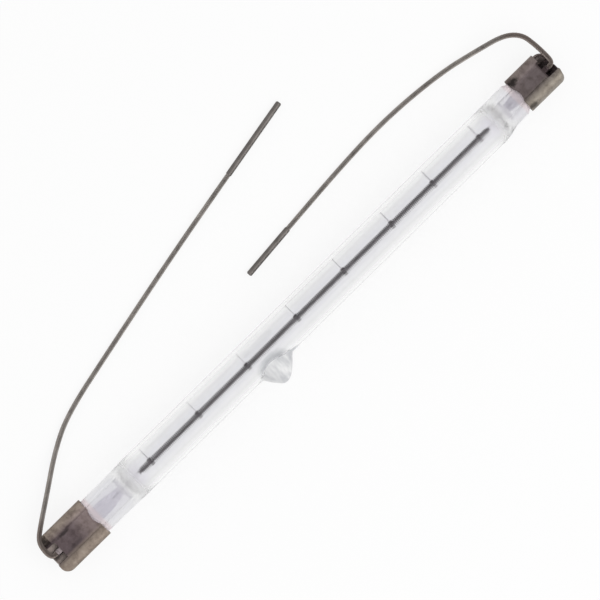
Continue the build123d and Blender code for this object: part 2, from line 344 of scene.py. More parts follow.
@dataclass(frozen=True)
class QuartzFinish:
    """Fused quartz, drawn as tube, blown and pinched while soft.

    The eye sees clear glass whose edges are almost white and whose middle is greyed by painted shade,
    a faint tungsten deposit past the filament's cold ends, faint drawing lines along it, pressed and hazy
    flats at the pinches with a painted pinkish highlight beside the caps, a painted grey shade where the
    tip grows out of the tube, and a milky bloom on the flame sealed tip.

    An edge is where something starts and is full, in mm: across the lamp, from the tube's axis, or
    towards the lamp's middle from a place at each end. For an ellipse it is a share of its size.
    """

    name: str = "fused_quartz_drawn"
    index: float = 1.458
    # painted shade: grey where the glass faces the eye, white where its wall is steep
    facing_shade: Stops = ((0.04, "eeeef0"), (0.1, "f1f1f2"), (0.2, "f7f7f7"), (0.36, "fcfcfc"), (0.6, "ffffff"))
    pinches: Pair = (-LEFT.pinch_start, RIGHT.pinch_start)
    pinch_tint: str = "e1e0e5"
    pinch_edge: Pair = (1.0, -1.5)
    pinch_sides: Pair = (6.0, 2.4)
    deposit_tint: str = "efeef1"
    deposit_edge: Pair = (3.0, -1.0)
    deposit_sides: Pair = (4.6, 1.4)
    mouths: Pair = (-LEFT.mouth, RIGHT.mouth)
    # painted pinkish highlight on the glass beside the caps
    mouth_highlight_tint: str = "f0e5e7"
    mouth_highlight_edge: Pair = (2.0, 1.0)
    mouth_highlight_depth: float = 0.3  # share of the light that the painted highlight scatters
    closing_tint: str = "ffffff"  # of the clear glass where the bore closes
    closing_edge: Pair = (5.0, 3.4)
    closed_edge: Pair = (2.2, 0.6)
    foot_painted_shade: str = "d8d9db"  # painted shade round the tip's foot, standing in for its thick glass bending the light
    foot_middle: Pair = (-16.2, -4.6)  # mm along and across
    foot_half: Pair = (6.4, 3.7)  # mm, half of its length and width
    foot_edge: Pair = (1.0, 0.4)
    bloom_tints: Stops = ((0.35, "c4c5c8"), (0.65, "ececec"))
    bloom_depth: float = 0.94  # share of the light that the bloom scatters
    bloom_skin: Pair = (6.01, 6.15)
    beside_middle: Pair = (-15.2, -6.0)  # of the bloom on the tube beside the tip
    beside_half: Pair = (9.0, 1.3)
    beside_edge: Pair = (1.0, 0.75)
    beside_skin: Pair = (5.5, 5.8)
    streak: float = 2.0  # mm, width of the bloom's slanting streaks
    streak_turn: float = 35.0  # degrees
    streak_shape: Point = (1.0, 0.25, 0.5)
    line: float = 1.2  # mm, width of a drawing line
    line_shape: Point = (0.03, 1.0, 1.0)
    haze: float = 9.0  # mm, size of a faintly dull patch
    haze_roughness: float = 0.05
    pressed_roughness: float = 0.36
    pressed_edge: Pair = (11.0, 2.0)

    def bloom(self, tree: ShaderTree) -> Source:
        """Finds the milky outside of the tip and of the tube beside it.

        Args:
            tree: the material's tree.

        Returns:
            The share of bloom.
        """
        flattened = tree.node("Mapping", {"Vector": tree.place, "Scale": (0.0, 1.0, 1.0)})
        from_axis = tree.node("VectorMath", {0: flattened}, operation="LENGTH")
        raised = tree.eased(from_axis, self.bloom_skin)
        by_foot = tree.eased(tree.reach_from(self.beside_middle, self.beside_half), self.beside_edge)
        outside = tree.eased(from_axis, self.beside_skin)
        beside = tree.node("Math", {0: by_foot, 1: outside}, operation="MULTIPLY")
        milky = tree.node("Math", {0: raised, 1: beside}, operation="MAXIMUM")
        # The bloom lies on the outside. Light that is already in the glass leaves it there as elsewhere.
        within = tree.node("NewGeometry").outputs["Backfacing"]
        return tree.node("Math", {0: milky, 1: within}, operation="SUBTRACT", use_clamp=True)

    def glass_colour(self, tree: ShaderTree, along: Source, mouth_highlight: Source) -> Source:
        """Tints the glass where it is coated, pressed or closed, paints a pinkish highlight beside the caps
        and paints grey shade round the tip's foot.

        Args:
            tree: the material's tree.
            along: object coordinate along the lamp.
            mouth_highlight: share of the painted pinkish highlight beside the caps.

        Returns:
            The colour under the bloom.
        """
        parts = tree.node("SeparateXYZ", {"Vector": tree.place})
        across = tree.node("Math", {0: parts.outputs["Y"]}, operation="ABSOLUTE")
        coated, flat = [
            tree.node(
                "Math",
                {0: tree.eased(along, *both_ends(places, *edge)), 1: tree.eased(across, sides)},
                operation="MULTIPLY",
            )
            for places, edge, sides in (
                (COIL_ENDS, self.deposit_edge, self.deposit_sides),
                (self.pinches, self.pinch_edge, self.pinch_sides),
            )
        ]
        narrowed = tree.eased(along, *both_ends(self.pinches, *self.closing_edge))
        closed = tree.eased(along, *both_ends(self.pinches, *self.closed_edge))
        closing = tree.node("Math", {0: narrowed, 1: closed}, operation="SUBTRACT")
        # Painted grey shade round the tip's foot.
        over_foot = tree.eased(tree.reach_from(self.foot_middle, self.foot_half), self.foot_edge)
        # Painted shade: the glass is tinted grey where it faces the eye and left white where its wall is
        # steep to the eye, so the tube's middle looks shaded and its edges clear.
        facing = tree.node("LayerWeight", {"Blend": 0.5}).outputs["Facing"]
        colour = colour_stops(tree.node("ValToRGB", {"Fac": facing}), self.facing_shade)
        for share, tint in (
            (coated, self.deposit_tint),
            (flat, self.pinch_tint),
            (mouth_highlight, self.mouth_highlight_tint),
            (closing, self.closing_tint),
            (over_foot, self.foot_painted_shade),
        ):
            colour = tree.node("Mix", {0: share, 6: colour, 7: hex_colour(tint)}, data_type="RGBA")
        return colour

    def material(self) -> Material:
        """Builds the material."""
        material = bpy.data.materials.new(self.name)
        tree = ShaderTree(material)
        along = tree.node("SeparateXYZ", {"Vector": tree.place}).outputs["X"]
        bloom = self.bloom(tree)
        # Painted pinkish highlight on the glass beside the caps.
        mouth_highlight = tree.eased(along, *both_ends(self.mouths, *self.mouth_highlight_edge))
        turn = (0.0, 0.0, math.radians(self.streak_turn))
        slanted = tree.node("Mapping", {"Vector": tree.place, "Rotation": turn, "Scale": self.streak_shape})
        streaks = tree.node("TexNoise", tree.pattern(self.streak, detail=2.0, place=slanted))
        milk = colour_stops(tree.node("ValToRGB", {"Fac": streaks}), self.bloom_tints)
        glass = self.glass_colour(tree, along, mouth_highlight)
        colour = tree.node("Mix", {0: bloom, 6: glass, 7: milk}, data_type="RGBA")
        haze = tree.node("TexNoise", tree.pattern(self.haze, detail=3.0))
        clear = tree.node("MapRange", {"Value": haze, "To Min": 0.0, "To Max": self.haze_roughness})
        heated = tree.eased(along, *both_ends(self.pinches, *self.pressed_edge))
        pressed = tree.node("Math", {0: heated, 1: bloom}, operation="MAXIMUM")
        rough = tree.node("MapRange", {"Value": pressed, "To Min": clear, "To Max": self.pressed_roughness})
        past_bloom, past_highlight = [
            tree.node("MapRange", {"Value": share, "To Min": 1.0, "To Max": 1.0 - depth})
            for share, depth in ((bloom, self.bloom_depth), (mouth_highlight, self.mouth_highlight_depth))
        ]
        passed = tree.node("Math", {0: past_bloom, 1: past_highlight}, operation="MULTIPLY")
        drawn = tree.node("Mapping", {"Vector": tree.place, "Scale": self.line_shape})
        lines = tree.node("TexNoise", tree.pattern(self.line, detail=3.0, place=drawn))
        inputs = {"IOR": self.index, "Base Color": colour, "Roughness": rough, "Transmission Weight": passed}
        tree.finish(lines, inputs, strength=0.12, depth=0.05)
        return material


@dataclass(frozen=True)
class PaintedShade:
    """Painted shade on a cap, over a fold, gap or open end, in millimetres of the lamp's frame, seen from
    above.
    """

    along: float
    across: float
    half_along: float
    half_across: float
    depth: float = 0.9  # 0 leaves the sheet as it is, 1 paints it black as full shade
    # colour of the painted shade
    colour: str = "1d1816"
    crumb: float = 1.1  # mm, size of the rim's raggedness
    ragged: float = 1.6  # how far it moves the rim, in parts of the shade's size
    rim: Pair = (2.1, 1.1)  # where the shade starts and is full, with that added

    def shade(self, tree: ShaderTree, colour: Source) -> Source:
        """Paints shade round the middle of the patch.

        Args:
            tree: the material's tree.
            colour: the sheet's colour.

        Returns:
            The darkened colour.
        """
        reach = tree.reach_from((self.along, self.across), (self.half_along, self.half_across))
        crumbs = tree.node("TexNoise", tree.pattern(self.crumb, detail=4.0))
        edge = tree.node("Math", {0: crumbs, 1: self.ragged * MM, 2: reach}, operation="MULTIPLY_ADD")
        share = tree.node("Math", {0: tree.eased(edge, self.rim), 1: self.depth}, operation="MULTIPLY")
        return tree.node("Mix", {0: share, 6: colour, 7: hex_colour(self.colour)}, data_type="RGBA")


@dataclass(frozen=True)
class CapFinish:
    """Nickel plated steel sheet, folded cold, that has run hot beside the filament.

    The eye sees a dull brown grey that is blotched over a millimetre or two, purple and brown heat
    tint in the recess that painted shade darkens further, dark lines in the folds, lighter worn rails,
    painted shade along some folds and in the gaps and corners, and inside the notch a colour that is
    painted light on one cap and painted shade on the other.
    """

    name: str
    offset: float  # mm, of the cap from the tube's axis
    roll: float  # degrees about the tube
    heat_edge: Pair  # mm along the tube, where the tint of the mouth ends and the outer end's is full
    rails: tuple[str, str]  # colours of the worn rails on the -Y and the +Y side
    web: tuple[str, str]  # colours of the sunken web between them, at the mouth and at the outer end: heat tint darkened by painted shade of the recess
    folds: tuple[Pair, Pair]  # mm across the cap, from the -Y rail to the web and on to the +Y rail
    # painted shade in folds, gaps and corners
    painted_shades: tuple[PaintedShade, ...]
    notch: str  # colour inside the notch: painted light that lifts its shade on the left cap, painted shade on the right
    notch_edge: Pair  # mm along the tube, where that starts and is full
    notch_sides: Pair = (2.9, 2.5)  # mm across the cap, the same
    half_span: float = 7.0  # mm, half of what the colours across the cap cover
    blotch: float = 1.9  # mm
    wander: float = 1.5  # mm, how far the blotches move the colours across the cap
    worn: Stops = ((0.32, "bdb8b6"), (0.5, "e6e3e1"), (0.68, "ffffff"))
    grit: float = 0.35  # mm, of the relief
    roughness: Pair = (0.45, 0.7)  # of the darkest and the lightest blotch

    def colours_across(self, tree: ShaderTree, share: Source, web: str) -> Source:
        """Colours the two rails and, with the given colour, the web between them."""
        (low_rail, low_web), (high_web, high_rail) = self.folds
        stops = ((low_rail, self.rails[0]), (low_web, web), (high_web, web), (high_rail, self.rails[1]))
        places = tuple((0.5 + place / (2 * self.half_span), code) for place, code in stops)
        return colour_stops(tree.node("ValToRGB", {"Fac": share}), places)

    def material(self) -> Material:
        """Builds the material."""
        material = bpy.data.materials.new(self.name)
        tree = ShaderTree(material)
        seat = {"Location": (0.0, self.offset * MM, 0.0), "Rotation": (math.radians(self.roll), 0.0, 0.0)}
        own = tree.node("Mapping", {"Vector": tree.place, **seat}, vector_type="TEXTURE")
        parts = tree.node("SeparateXYZ", {"Vector": own}).outputs
        blotches = tree.node("TexNoise", {**tree.pattern(self.blotch, detail=5.0), "Roughness": 0.62})
        wander = {0: blotches, 1: self.wander * MM, 2: -self.wander / 2 * MM}
        shift = tree.node("Math", wander, operation="MULTIPLY_ADD")
        moved = tree.node("Math", {0: parts["Y"], 1: shift}, operation="ADD")
        reach = {"From Min": -self.half_span * MM, "From Max": self.half_span * MM}
        share = tree.node("MapRange", {"Value": moved, **reach})
        outwards = tree.eased(parts["X"], self.heat_edge)
        # The web's heat tint and painted shade of the recess, from the mouth to the outer end.
        mouth, end = [self.colours_across(tree, share, web) for web in self.web]
        heat_tint_and_shade = tree.node("Mix", {0: outwards, 6: mouth, 7: end}, data_type="RGBA")
        worn = colour_stops(tree.node("ValToRGB", {"Fac": blotches}), self.worn)
        sheet = tree.node("Mix", {0: 1.0, 6: heat_tint_and_shade, 7: worn}, data_type="RGBA", blend_type="MULTIPLY")
        width = tree.node("Math", {0: parts["Y"]}, operation="ABSOLUTE")
        # Painted light in the left cap's notch and painted shade in the right one's.
        within = {0: tree.eased(width, self.notch_sides), 1: tree.eased(parts["X"], self.notch_edge)}
        inside = tree.node("Math", within, operation="MULTIPLY")
        colour = tree.node("Mix", {0: inside, 6: sheet, 7: hex_colour(self.notch)}, data_type="RGBA")
        # Painted shade in folds, gaps and corners.
        for shade_patch in self.painted_shades:
            colour = shade_patch.shade(tree, colour)
        least, most = self.roughness
        rough = tree.node("MapRange", {"Value": blotches, "To Min": least, "To Max": most})
        grain = tree.node("TexNoise", tree.pattern(self.grit, detail=3.0))
        inputs = {"Metallic": 0.75, "Base Color": colour, "Roughness": rough}
        tree.finish(grain, inputs, strength=0.35, depth=0.04)
        return material


LEFT_CAP = CapFinish(
    "nickel_plated_sheet_left",
    offset=LEFT.offset,
    roll=LEFT.roll,
    heat_edge=(-85.0, -90.5),
    rails=("9c9085", "9d9187"),
    web=("837675", "64585b"),
    folds=((-3.6, -2.2), (3.2, 5.4)),
    # painted shade in the folds beside the rails and in the gaps beside the wire at the outer end
    painted_shades=(
        PaintedShade(-92.3, 2.7, 2.4, 0.5, 0.75),
        PaintedShade(-98.0, 5.0, 1.0, 0.9, 0.8),
        PaintedShade(-98.4, -1.0, 1.0, 1.0, 0.7),
        PaintedShade(-91.5, -1.8, 2.6, 0.7, 0.3),
    ),
    # painted light that lightens the shade inside the notch
    notch="a69a94",
    notch_edge=(-95.7, -96.1),
)
RIGHT_CAP = CapFinish(
    "nickel_plated_sheet_right",
    offset=RIGHT.offset,
    roll=RIGHT.roll,
    heat_edge=(87.0, 92.5),
    rails=("9d968c", "978c87"),
    web=("706666", "6e6465"),
    folds=((-4.4, -1.6), (2.4, 5.4)),
    # painted shade in the rails' open mouths and in the gap beside the wire at the outer end
    painted_shades=(
        PaintedShade(87.0, 4.6, 2.2, 1.3, 0.95),
        PaintedShade(87.0, -4.2, 1.7, 0.9, 0.7),
        PaintedShade(97.2, 0.9, 1.4, 3.4, 0.7),
    ),
    # painted shade inside the notch
    notch="453a3b",
    notch_edge=(95.1, 95.5),
)


class Metal(Enum):
    """The wire and foil finishes of the lamp."""

    # Tungsten coiled hot: dull charcoal with a slight violet cast.
    FILAMENT = WireFinish("tungsten_coiled", "4e474b", "6d6469", 0.45, 1.5)
    # The filament's straight legs, which never glow: bright drawn wire.
    LEG = WireFinish("tungsten_drawn_bright", "a9a7ac", "c4c2c7", 0.4, 1.0)
    # Tungsten wound on the hot coil: as dull as the coil, and darker where its turns lie close.
    LOOP = WireFinish("tungsten_wound", "4f484d", "6d656a", 0.45, 1.0)
    # Tungsten drawn fine and left cool: smooth and pale, so that it is faint through the glass.
    SUPPORT = WireFinish("tungsten_drawn", "d6d4d8", "e9e7ea", 0.4, 1.0)
    # Molybdenum rolled thin: bright, with a lilac cast under the quartz.
    FOIL = WireFinish("molybdenum_rolled_foil", "d3d1d7", "e6e4e9", 0.38, 1.4, 0.3)
    # Molybdenum drawn: a plain grey rod, browned by heat.
    PIN = WireFinish("molybdenum_drawn", "88868a", "a3a1a4", 0.38, 1.5, scorch="6a6260")
    # Nickel plated steel, pressed: soft edged, and a warm mid grey from heat.
    CRIMP_LEFT = WireFinish("nickel_plated_crimp", "786e70", "978d8e", 0.5, 1.2)
    # The same, darker on the right end.
    CRIMP_RIGHT = WireFinish("nickel_plated_crimp_dark", "3f3637", "574c4d", 0.5, 1.2)
    # Nickel plated copper strands, twisted: warm grey that breaks into slanting lines.
    STRANDS = WireFinish("nickel_plated_strands", "827d79", "a09a95", 0.42, 3.0, 0.1, scorch="7d736e")
    # Nickel plated sleeve, pressed on: darker and smoother than the strands.
    SLEEVE = WireFinish("nickel_plated_sleeve", "5a5653", "736e6b", 0.42, 2.5)


WELD = 0.002  # mm, under which two points of a CAD node's mesh are one
FLAT_ANGLE = 2.0  # degrees, under which two faces are one
SHARP_ANGLE = 35.0  # degrees, over which an edge is rounded
GLASS_SMOOTH, WIRE_SMOOTH, SHEET_SMOOTH = 75.0, 60.0, 30.0  # degrees, over which an edge stays sharp
WIRE_STEPS, ROUTE_STEPS = 3, 36  # from one point of a curve to the next


def select_only(*objects: Piece) -> None:
    """Selects these objects and nothing else, the first one active."""
    bpy.ops.object.select_all(action="DESELECT")
    for item in objects:
        item.select_set(True)
    bpy.context.view_layer.objects.active = objects[0]


def dress(piece: Piece, material: Material) -> None:
    """Gives a piece this material alone."""
    piece.data.materials.clear()
    piece.data.materials.append(material)


def settle(piece: Piece, name: str, smooth_angle: float, node: str) -> Piece:
    """Finishes a piece and rides it on the lamp in the place of its CAD node.

    Args:
        piece: the piece, whose modifiers and place are applied.
        name: its name.
        smooth_angle: degrees, over which an edge stays sharp.
        node: the CAD node.

    Returns:
        The piece.
    """
    select_only(piece)
    for modifier in list(piece.modifiers):
        bpy.ops.object.modifier_apply(modifier=modifier.name)
    bpy.ops.object.transform_apply(location=True, rotation=True, scale=True)
    bpy.ops.object.shade_smooth_by_angle(angle=math.radians(smooth_angle))
    piece.name = name
    piece.data.name = name
    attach(piece, "root")
    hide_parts(node)
    return piece


def edit_mesh(piece: Piece, *steps: tuple[Callable, dict]) -> None:
    """Runs mesh operators with their settings, each on the whole of a piece."""
    select_only(piece)
    bpy.ops.object.mode_set(mode="EDIT")
    for operator, settings in steps:
        bpy.ops.mesh.select_all(action="SELECT")
        operator(**settings)
    bpy.ops.object.mode_set(mode="OBJECT")


def linked(name: str, data: bpy.types.ID) -> Piece:
    """Puts new data into the scene as an object."""
    piece = bpy.data.objects.new(name, data)
    bpy.context.scene.collection.objects.link(piece)
    return piece


def softened_copy(node: Piece, edge: float) -> Piece:
    """Copies a CAD node and rounds its edges.

    Args:
        node: the CAD node, which is left as it is.
        edge: mm, width of the rounding.

    Returns:
        The copy, with the rounding as a modifier.
    """
    copy = linked(node.name + "_made", node.data.copy())
    edit_mesh(
        copy,
        (bpy.ops.mesh.remove_doubles, {"threshold": WELD * MM}),
        (bpy.ops.mesh.dissolve_limited, {"angle_limit": math.radians(FLAT_ANGLE)}),
    )
    bevel = copy.modifiers.new("edge", "BEVEL")
    bevel.width = edge * MM
    bevel.segments = 2
    bevel.limit_method = "ANGLE"
    bevel.angle_limit = math.radians(SHARP_ANGLE)
    return copy


def smooth_curve(points: tuple[Point, ...] | list[Point], steps: int) -> bpy.types.Curve:
    """Lays a smooth spline along points.

    Args:
        points: mm, in the lamp's frame.
        steps: steps from one point to the next.

    Returns:
        The curve.
    """
    curve = bpy.data.curves.new("curve", "CURVE")
    curve.dimensions = "3D"
    spline = curve.splines.new("NURBS")
    spline.points.add(len(points) - 1)
    for point, (x, y, z) in zip(spline.points, points):
        point.co = (x * MM, y * MM, z * MM, 1.0)
    spline.order_u = 3
    spline.use_endpoint_u = True
    spline.resolution_u = steps
    return curve


def bent_wire(points: list[Point], diameter: float) -> Piece:
    """Makes a round wire along points.

    Args:
        points: mm, in the lamp's frame.
        diameter: mm.

    Returns:
        The wire as a mesh.
    """
    curve = smooth_curve(points, WIRE_STEPS)
    curve.bevel_depth = diameter / 2 * MM
    curve.bevel_resolution = 2
    curve.use_fill_caps = True
    select_only(linked("wire", curve))
    bpy.ops.object.convert(target="MESH")
    return bpy.context.view_layer.objects.active


@dataclass
class QuartzEnvelope:
    """The blown and pinched tube with its sealed exhaust tip, in millimetres."""

    radius: float = 6.0
    bore: float = 5.0
    sides: int = 128
    tip_place: float = -17.0
    tip_lean: float = 0.18  # how much longer its right flank is than its left one
    tip_depth: float = 1.35  # how much narrower it is in height than along the tube
    slit_share: float = 0.72  # of the pinch's width, where the bore closes
    slit_half_height: float = 0.05
    tip_profile: tuple[Pair, ...] = (
        (0.0, 11.05), (1.0, 10.85), (1.8, 10.4), (2.7, 9.6), (3.4, 8.85),
        (4.05, 8.1), (5.0, 7.05), (5.7, 6.0), (6.2, 4.6), (7.2, 0.0),
    )  # distance from the tip's axis and reach from the tube's axis
    melt: float = 0.45  # over which flame has rounded the tip's corners
    melt_step: float = 0.05
    blend: float = 1.1  # over which the tip flows into the tube
    plain_rings: Point = (-60.0, 75.0, 6.0)  # start, stop and step of the skins' rings of points
    tip_rings: Point = (-24.0, -7.5, 0.22)
    bend_step: float = 0.25  # over the shoulder and the neck
    bend_margin: float = 2.4
    flat_margin: float = 2.5
    pinch_margin: float = 3.0
    pinch_step: float = 2.5
    least_step: float = 0.1
    outer_spread: float = 2.0  # beyond the shoulder's two ends, over which the outer skin flattens
    inner_spread: float = 1.0  # before the shoulder, where the bore starts to

    @cached_property
    def melted_tip(self) -> tuple[np.ndarray, np.ndarray]:
        """Distances from the tip's axis and the reaches there, finely spaced and rounded by the flame."""
        step = self.melt_step
        places, reaches = zip(*self.tip_profile)
        distance = np.arange(-places[-1], places[-1] + step, step)
        sharp = np.interp(np.abs(distance), places, reaches)
        spread = np.arange(-3 * self.melt, 3 * self.melt + step, step)
        weight = np.exp(-((spread / self.melt) ** 2) / 2)
        smooth = np.convolve(sharp, weight / weight.sum(), mode="same")
        outer = distance >= 0
        return distance[outer], smooth[outer]

    def stations(self, low: float, high: float) -> list[float]:
        """Places along the tube at which a skin has a ring of points.

        Args:
            low: mm, the skin's start.
            high: mm, its end.

        Returns:
            Places in rising order.
        """
        places = {low, high, *np.arange(*self.plain_rings), *np.arange(*self.tip_rings)}
        for end in (LEFT, RIGHT):
            for start, stop, step in (
                (end.shoulder_start - self.bend_margin, end.pinch_start + self.flat_margin, self.bend_step),
                (end.mouth - NECK_LENGTH - NECK_END, end.mouth + self.least_step, self.bend_step),
                (end.pinch_start + self.pinch_margin, GLASS_END, self.pinch_step),
            ):
                places.update(end.side * mark for mark in np.arange(start, stop, step))
        inside = sorted(place for place in places if low <= place <= high)
        kept = [inside[0]]
        for place in inside[1:]:
            if place - kept[-1] > self.least_step:
                kept.append(place)
        kept[-1] = high
        return [float(place) for place in kept]

    def raise_tip(self, x: float, y: float, z: float) -> float:
        """Moves a point of the round tube out into the exhaust tip.

        Args:
            x: mm along the tube.
            y: mm, the point's place across it.
            z: mm, its height.

        Returns:
            The new Y in mm.
        """
        if y >= 0:
            return y
        away = x - self.tip_place
        distance = math.hypot(away / (1 + math.copysign(self.tip_lean, away)), z * self.tip_depth)
        reach = float(np.interp(distance, *self.melted_tip))
        mix = max(0.0, 1 - abs(-y - reach) / self.blend)
        return -(max(-y, reach) + mix * mix * self.blend / 4)

    def outer_point(self, x: float, angle: float) -> Pair:
        """Y and Z in mm of the outer skin at a place and angle."""
        y, z = self.radius * math.cos(angle), self.radius * math.sin(angle)
        end = LEFT if x < 0 else RIGHT
        share = end.closed(x, self.outer_spread, self.outer_spread)
        if share <= 0:
            return self.raise_tip(x, y, z), z
        flat_y, flat_z = end.flat_point(angle, end.width_at(abs(x)))
        return y + (flat_y - y) * share, z + (flat_z - z) * share

    def inner_point(self, x: float, angle: float) -> Pair:
        """Y and Z in mm of the bore at a place and angle."""
        y, z = self.bore * math.cos(angle), self.bore * math.sin(angle)
        end = LEFT if x < 0 else RIGHT
        share = end.closed(x, self.inner_spread, 0.0)
        slit_y = self.slit_share * end.pinch_width / 2 * math.cos(angle)
        slit_y, slit_z = end.turned(slit_y, self.slit_half_height * math.sin(angle))
        return y + (slit_y - y) * share, z + (slit_z - z) * share

    def skin(self, radius: float, low: float, high: float, shape: Callable[[float, float], Pair]) -> Piece:
        """Extrudes a ring along the tube and moulds it.

        Args:
            radius: mm of the ring.
            low: mm, where it starts.
            high: mm, where it ends.
            shape: gives Y and Z in mm for a place and an angle.

        Returns:
            The closed skin.
        """
        places = self.stations(low, high)
        bpy.ops.object.select_all(action="DESELECT")
        bpy.ops.mesh.primitive_circle_add(
            vertices=self.sides,
            radius=radius * MM,
            fill_type="NGON",
            location=(low * MM, 0, 0),
            rotation=(0, math.pi / 2, 0),
        )
        skin = bpy.context.view_layer.objects.active
        bpy.ops.object.transform_apply(location=True, rotation=True, scale=True)
        bpy.ops.object.mode_set(mode="EDIT")
        bpy.ops.mesh.select_all(action="SELECT")
        for before, after in zip(places, places[1:]):
            bpy.ops.mesh.extrude_region_move(TRANSFORM_OT_translate={"value": ((after - before) * MM, 0, 0)})
        bpy.ops.object.mode_set(mode="OBJECT")
        edit_mesh(skin, FACE_OUT)
        for vertex in skin.data.vertices:
            angle = math.atan2(vertex.co.z, vertex.co.y)
            y, z = shape(vertex.co.x / MM, angle)
            vertex.co.y, vertex.co.z = y * MM, z * MM
        return skin

    def build(self) -> Piece:
        """Makes the whole envelope, solid at its pinches and hollow between them."""
        outer = self.skin(self.radius, -GLASS_END, GLASS_END, self.outer_point)
        inner = self.skin(self.bore, -LEFT.pinch_start, RIGHT.pinch_start, self.inner_point)
        edit_mesh(inner, (bpy.ops.mesh.flip_normals, {}))
        select_only(outer, inner)
        bpy.ops.object.join()
        dress(outer, QuartzFinish().material())
        return settle(outer, "quartz_envelope", GLASS_SMOOTH, "quartz_tube")


@dataclass
class CoilFilament:
    """Tungsten wire coiled between the two seals, in millimetres."""

    start: float = COIL_ENDS[0]
    stop: float = COIL_ENDS[1]
    coil_radius: float = 0.8
    wire: float = 0.3
    wire_sides: int = 7
    leg_wire: float = 0.14
    pitch: float = 0.54
    steps: int = 12
    end_share: float = 0.6  # how far the last turns are drawn in to the legs
    end_length: float = 1.2
    left_leg: tuple[Point, ...] = (
        (-75.2, 0.0, -0.2), (-72.0, 0.0, -0.2), (-68.5, 0.0, -0.1), (-66.3, 0.1, 0.0), (-65.3, 0.25, 0.1),
    )
    right_leg: tuple[Point, ...] = (
        (74.0, 0.3, 0.1), (75.0, 0.2, 0.0), (77.5, 0.5, -0.1), (80.6, 0.65, -0.2), (83.6, 0.65, -0.2),
    )

    @property
    def turns(self) -> int:
        """Whole turns of the coil."""
        return round((self.stop - self.start) / self.pitch)

    def coil(self) -> Piece:
        """Screws the wire's section round the axis."""
        bpy.ops.object.select_all(action="DESELECT")
        bpy.ops.mesh.primitive_circle_add(
            vertices=self.wire_sides,
            radius=self.wire / 2 * MM,
            location=(self.start * MM, self.coil_radius * MM, 0),
        )
        coil = bpy.context.view_layer.objects.active
        bpy.ops.object.transform_apply(location=True, rotation=True, scale=True)
        screw = coil.modifiers.new("turns", "SCREW")
        screw.axis = "X"
        screw.angle = 2 * math.pi
        screw.screw_offset = (self.stop - self.start) / self.turns * MM
        screw.iterations = self.turns
        screw.steps = self.steps
        screw.render_steps = self.steps
        bpy.ops.object.modifier_apply(modifier="turns")
        edit_mesh(coil, (bpy.ops.mesh.fill_holes, {"sides": 0}), FACE_OUT)
        for vertex in coil.data.vertices:
            gone = min(vertex.co.x / MM - self.start, self.stop - vertex.co.x / MM)
            width = self.end_share + (1 - self.end_share) * smoothstep(gone / self.end_length)
            vertex.co.y *= width
            vertex.co.z *= width
        return coil

    def build(self) -> Piece:
        """Makes the coil and its two legs."""
        coil = self.coil()
        radius = self.coil_radius * self.end_share
        dress(coil, Metal.FILAMENT.value.material())
        left_hook = [(self.start, radius, -0.15), (self.start, radius, 0.1)]
        right_hook = [(self.stop, radius, -0.1), (self.stop, radius, 0.15)]
        routes = ([*self.left_leg, *left_hook], [*right_hook, *self.right_leg])
        legs = [bent_wire(route, self.leg_wire) for route in routes]
        bright = Metal.LEG.value.material()
        for leg in legs:
            dress(leg, bright)
        select_only(coil, *legs)
        bpy.ops.object.join()
        return settle(coil, "filament_coil", WIRE_SMOOTH, "filament")


@dataclass
class SealFoil:
    """Foil in a pinch, drawn in to a tongue where the filament's leg is welded on, in millimetres."""

    end: LampEnd
    width: float = 4.6
    tongue: float = 2.8  # width of the tongue
    taper: float = 7.0  # length over which the foil narrows
    thickness: float = 0.08
    height: float = -0.49  # of its middle, across the pinch
    inner_margin: float = 0.2
    outer_margin: float = 3.0
    rows: int = 24
    columns: int = 6

    def width_at(self, gone: float) -> float:
        """Width of the foil at a distance from its inner end."""
        return self.tongue + (self.width - self.tongue) * smoothstep(gone / self.taper)

    def build(self, material: Material) -> Piece:
        """Cuts the foil out of a sheet, narrows it to its tongue and turns it to its pinch."""
        start = self.end.pinch_start + self.inner_margin
        stop = GLASS_END - self.outer_margin
        bpy.ops.object.select_all(action="DESELECT")
        bpy.ops.mesh.primitive_grid_add(x_subdivisions=self.rows, y_subdivisions=self.columns, size=1.0)
        foil = bpy.context.view_layer.objects.active
        for vertex in foil.data.vertices:
            gone = (vertex.co.x + 0.5) * (stop - start)
            y, z = self.end.turned(vertex.co.y * self.width_at(gone), self.height)
            vertex.co = (self.end.side * (start + gone) * MM, y * MM, z * MM)
        edit_mesh(foil, FACE_OUT)
        solid = foil.modifiers.new("thickness", "SOLIDIFY")
        solid.thickness = self.thickness * MM
        solid.offset = 0.0
        dress(foil, material)
        side = self.end.name
        return settle(foil, f"weld_foil_{side}", SHEET_SMOOTH, f"seal_foil_{side}")


